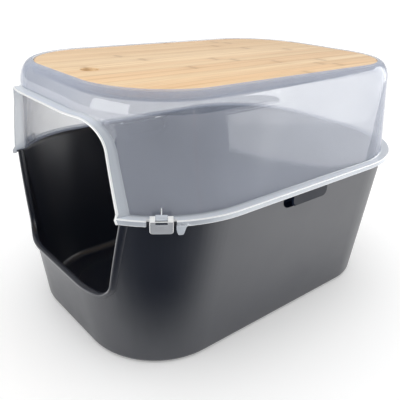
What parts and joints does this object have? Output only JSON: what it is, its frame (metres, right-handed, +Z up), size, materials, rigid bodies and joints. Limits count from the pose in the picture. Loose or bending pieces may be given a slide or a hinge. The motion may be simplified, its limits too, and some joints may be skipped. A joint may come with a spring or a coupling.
{
  "type": "hooded cat litter box",
  "caption": "Tapered litter tub with a low entry, lift-off translucent hood with an arched mouth, bamboo board lying in its top, and small hinged clips at the front corners of the rim",
  "frame": {"origin": "centre of the floor rectangle under the whole box, at floor height", "axes": "+Z up, the long axis along Y with the entry at -Y, +X to the right side seen from the entry"},
  "size_m": [0.4, 0.542, 0.3465],
  "materials": {
    "charcoal_plastic": "fine satin moulded polypropylene, charcoal",
    "milky_plastic": "glossy milky translucent polypropylene",
    "bamboo": "light laminated bamboo, thin clear satin coat"
  },
  "bodies": {
    "tub": {"tub": "charcoal_plastic"},
    "hood": {"hood": "milky_plastic"},
    "board": {"bamboo_board": "bamboo"},
    "clip_right": {"clip_right": "milky_plastic"},
    "clip_left": {"clip_left": "milky_plastic"}
  },
  "joints": [
    {"name": "hood_lift_off", "type": "slide", "parent": "tub", "child": "hood", "axis": [0, 0, 1], "range_m": [0, 0.2]},
    {"name": "board_lift_off", "type": "slide", "parent": "hood", "child": "board", "axis": [0, 0, 1], "range_m": [0, 0.06]},
    {"name": "clip_right_hinge", "type": "hinge", "parent": "hood", "child": "clip_right", "pos_m": [0.16924, -0.22072, 0.2206], "axis": [-0.575, -0.8181, 0], "range_deg": [0, 90]},
    {"name": "clip_left_hinge", "type": "hinge", "parent": "hood", "child": "clip_left", "pos_m": [-0.16924, -0.22072, 0.2206], "axis": [-0.575, 0.8181, 0], "range_deg": [0, 90]}
  ]
}
